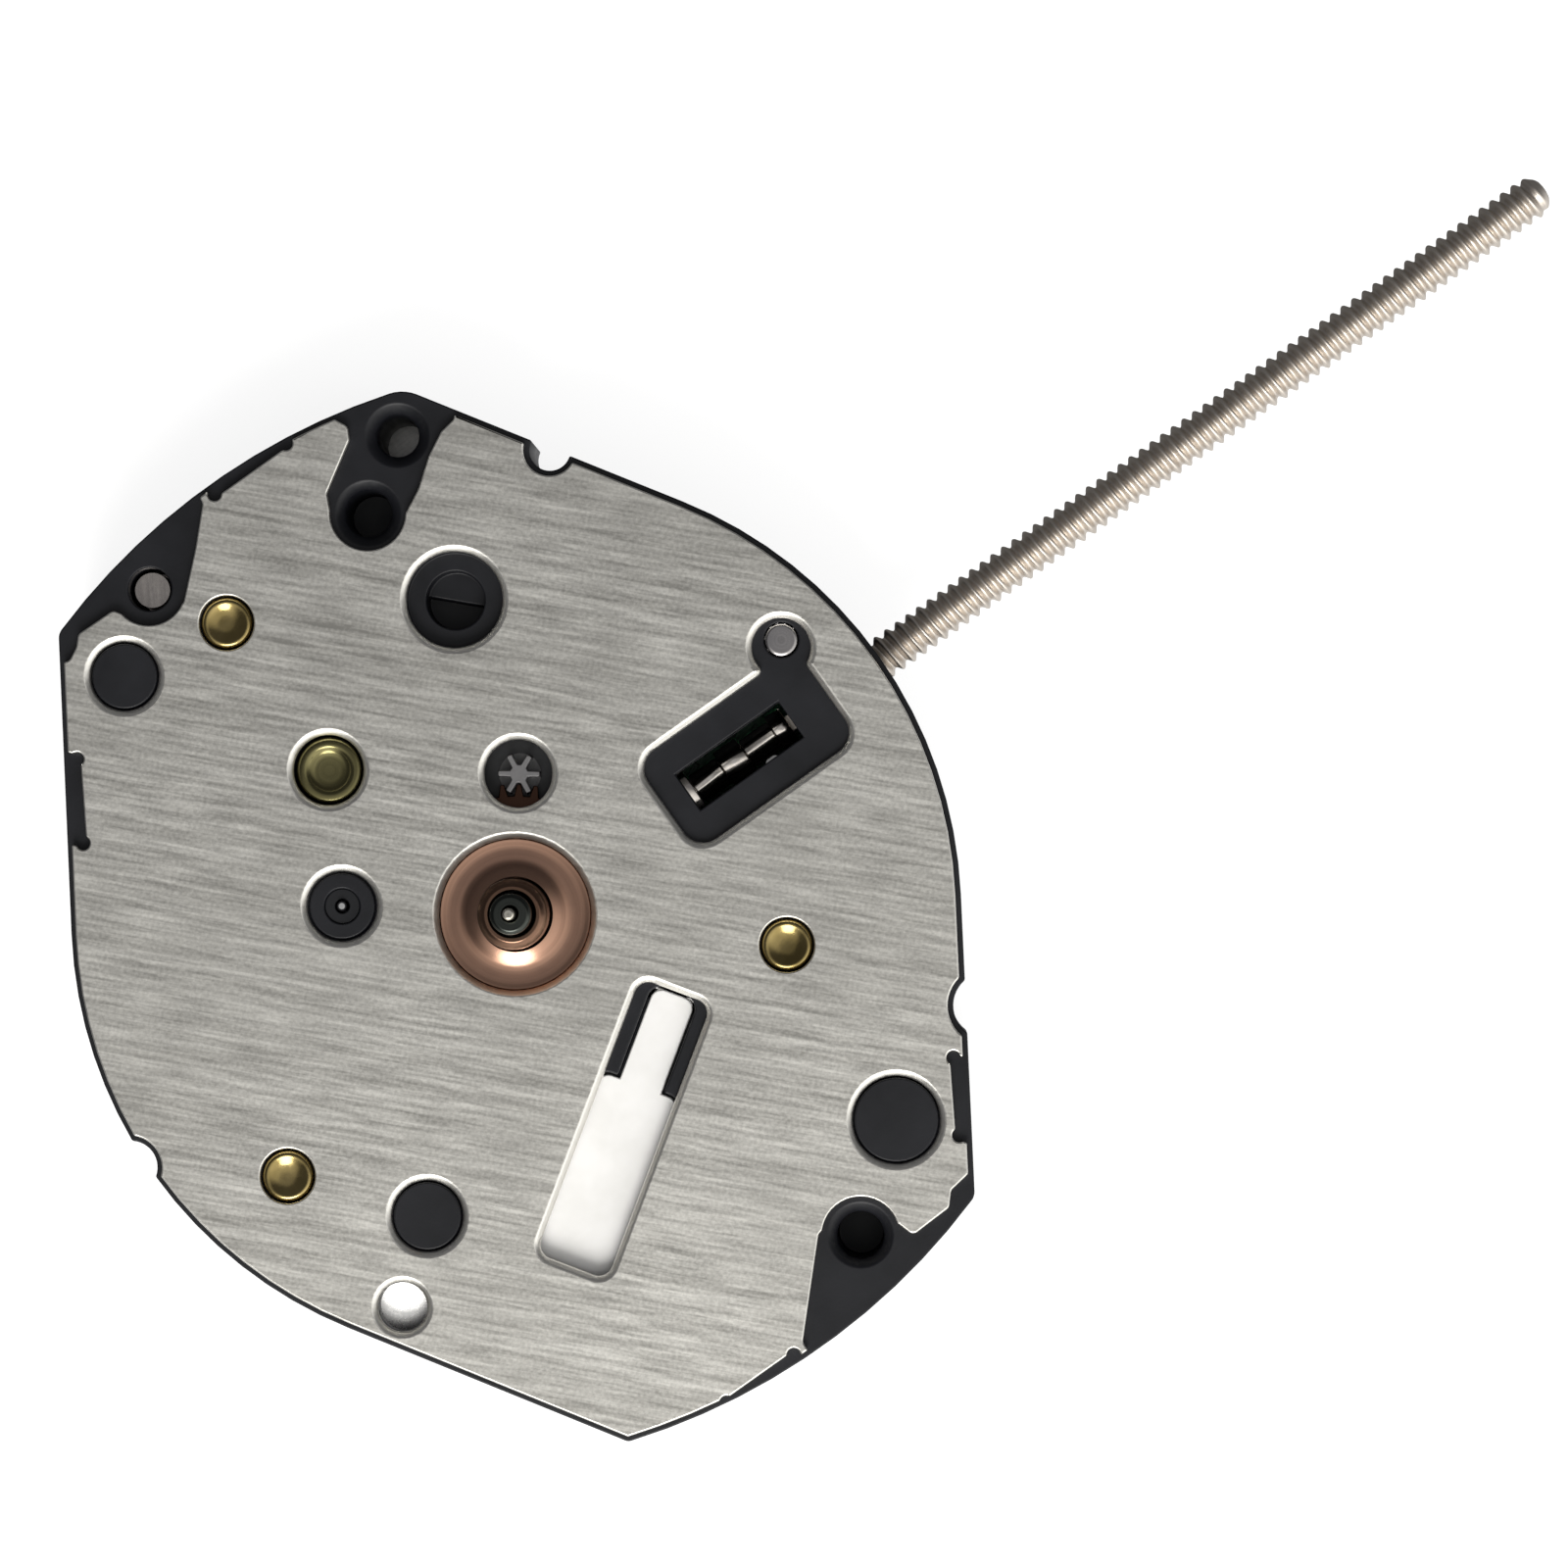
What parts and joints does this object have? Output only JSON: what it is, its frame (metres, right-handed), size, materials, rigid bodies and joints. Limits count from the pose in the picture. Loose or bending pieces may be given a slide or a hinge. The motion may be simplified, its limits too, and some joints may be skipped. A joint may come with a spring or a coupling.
{
  "type": "quartz watch movement",
  "caption": "Analogue quartz watch movement with hand posts on its dial side, geared wheel train, button cell and a long threaded setting stem.",
  "frame": {"origin": "on the hand axis, in the plane of the dial seat on top of the steel dial side plate", "axes": "+Z along the hand axis, out of the dial side; +X along the setting stem at 3 o'clock; +Y at 12 o'clock"},
  "size_m": [0.0292, 0.018, 0.005],
  "materials": {
    "black_plastic": "moulded black plastic with a faint satin sheen",
    "brushed_steel": "brushed stainless steel with fine straight grain",
    "polished_steel": "turned steel",
    "dark_steel": "dark turned steel",
    "brass": "turned brass",
    "copper": "copper coloured alloy",
    "nickel": "bright nickel strip",
    "grey_plastic": "grey engineering plastic",
    "amber_plastic": "amber moulded plastic",
    "magnet": "dark sintered magnet",
    "core_alloy": "nickel iron alloy",
    "copper_wire": "enamelled copper wire",
    "board_green": "lacquered circuit board",
    "chip_black": "black potting",
    "insulator_film": "amber film"
  },
  "bodies": {
    "movement": {"main_plate": "black_plastic", "dial_side_plate": "brushed_steel", "brass_posts": "brass", "bridge_insert": "brass", "rotor_bearing": "polished_steel", "stator": "core_alloy", "coil_core": "core_alloy", "coil_bobbin": "grey_plastic", "coil_winding": "copper_wire", "coil_terminals": "board_green", "train_bridge": "polished_steel", "bridge_screws": "polished_steel", "circuit_board": "board_green", "chip": "chip_black", "quartz_crystal": "polished_steel", "insulator": "insulator_film", "circuit_cover": "brushed_steel", "cover_screws": "polished_steel", "battery_can": "polished_steel", "battery_cap": "polished_steel", "battery_seal": "black_plastic", "negative_contact": "nickel", "positive_contact": "nickel", "setting_lever_axle": "polished_steel", "yoke_pin": "polished_steel", "reset_lever_pin": "polished_steel"},
    "seconds": {"seconds_wheel": "polished_steel"},
    "fifth": {"fifth_wheel": "amber_plastic"},
    "rotor": {"rotor_pinion": "grey_plastic", "rotor_magnet": "magnet"},
    "third": {"third_wheel": "brass"},
    "minute_hand_post": {"centre_wheel": "brass", "cannon_pinion": "dark_steel"},
    "minute_wheel": {"minute_wheel": "grey_plastic"},
    "hour": {"hour_wheel": "copper", "dial_washer": "copper"},
    "setting_wheel": {"setting_wheel": "polished_steel"},
    "shoe": {"stem_shoe": "polished_steel"},
    "stem": {"stem": "dark_steel"},
    "clutch": {"clutch_wheel": "polished_steel"},
    "lever": {"setting_lever": "polished_steel"},
    "yoke": {"yoke": "polished_steel"},
    "reset": {"reset_lever": "brass"}
  },
  "joints": [
    {"name": "seconds_turn", "type": "hinge", "parent": "movement", "child": "seconds", "pos_m": [0, 0, 0], "axis": [0, 0, 1], "continuous": true},
    {"name": "fifth_turn", "type": "hinge", "parent": "movement", "child": "fifth", "pos_m": [-0.00185, 0.0005, -0.0015], "axis": [0, 0, 1], "continuous": true},
    {"name": "rotor_turn", "type": "hinge", "parent": "movement", "child": "rotor", "pos_m": [-0.00233, 0.00182, -0.0022], "axis": [0, 0, 1], "continuous": true},
    {"name": "third_turn", "type": "hinge", "parent": "movement", "child": "third", "pos_m": [0, 0.00185, -0.0017], "axis": [0, 0, 1], "continuous": true},
    {"name": "minute_turn", "type": "hinge", "parent": "movement", "child": "minute_hand_post", "pos_m": [0, 0, 0], "axis": [0, 0, 1], "continuous": true},
    {"name": "minute_wheel_turn", "type": "hinge", "parent": "movement", "child": "minute_wheel", "pos_m": [0.00143, 0.00193, -0.0007], "axis": [0, 0, 1], "continuous": true},
    {"name": "hour_turn", "type": "hinge", "parent": "movement", "child": "hour", "pos_m": [0, 0, 0], "axis": [0, 0, 1], "continuous": true},
    {"name": "setting_wheel_turn", "type": "hinge", "parent": "movement", "child": "setting_wheel", "pos_m": [0.00226, 0, -0.0007], "axis": [0, 0, 1], "continuous": true},
    {"name": "stem_pull", "type": "slide", "parent": "movement", "child": "shoe", "axis": [1, 0, 0], "range_m": [0, 0.0005]},
    {"name": "crown_turn", "type": "hinge", "parent": "shoe", "child": "stem", "pos_m": [0.00625, 0, -0.0016], "axis": [1, 0, 0], "continuous": true},
    {"name": "clutch_slide", "type": "slide", "parent": "stem", "child": "clutch", "axis": [1, 0, 0], "range_m": [-0.0008, 0]},
    {"name": "lever_swing", "type": "hinge", "parent": "movement", "child": "lever", "pos_m": [0.0064, 0.0012, -0.00237], "axis": [0, 0, 1], "range_deg": [0, 24]},
    {"name": "yoke_swing", "type": "hinge", "parent": "movement", "child": "yoke", "pos_m": [0.00493, -0.0023, -0.00182], "axis": [0, 0, 1], "range_deg": [0, 10]},
    {"name": "reset_swing", "type": "hinge", "parent": "movement", "child": "reset", "pos_m": [0.00302, -0.00122, -0.00199], "axis": [0, 0, 1], "range_deg": [-3.5, 0]}
  ],
  "couplings": [
    {"joint": "fifth_turn", "follows": "seconds_turn", "ratio": -5},
    {"joint": "rotor_turn", "follows": "seconds_turn", "ratio": 30},
    {"joint": "third_turn", "follows": "seconds_turn", "ratio": -0.13333},
    {"joint": "minute_turn", "follows": "seconds_turn", "ratio": 0.016667},
    {"joint": "minute_wheel_turn", "follows": "seconds_turn", "ratio": -0.011111},
    {"joint": "hour_turn", "follows": "seconds_turn", "ratio": 0.0013889},
    {"joint": "setting_wheel_turn", "follows": "seconds_turn", "ratio": 0.024242},
    {"joint": "clutch_slide", "follows": "stem_pull", "ratio": -1.6},
    {"joint": "lever_swing", "follows": "stem_pull", "rad_per_m": 816.27},
    {"joint": "yoke_swing", "follows": "stem_pull", "rad_per_m": 321.94},
    {"joint": "reset_swing", "follows": "stem_pull", "rad_per_m": -100}
  ]
}
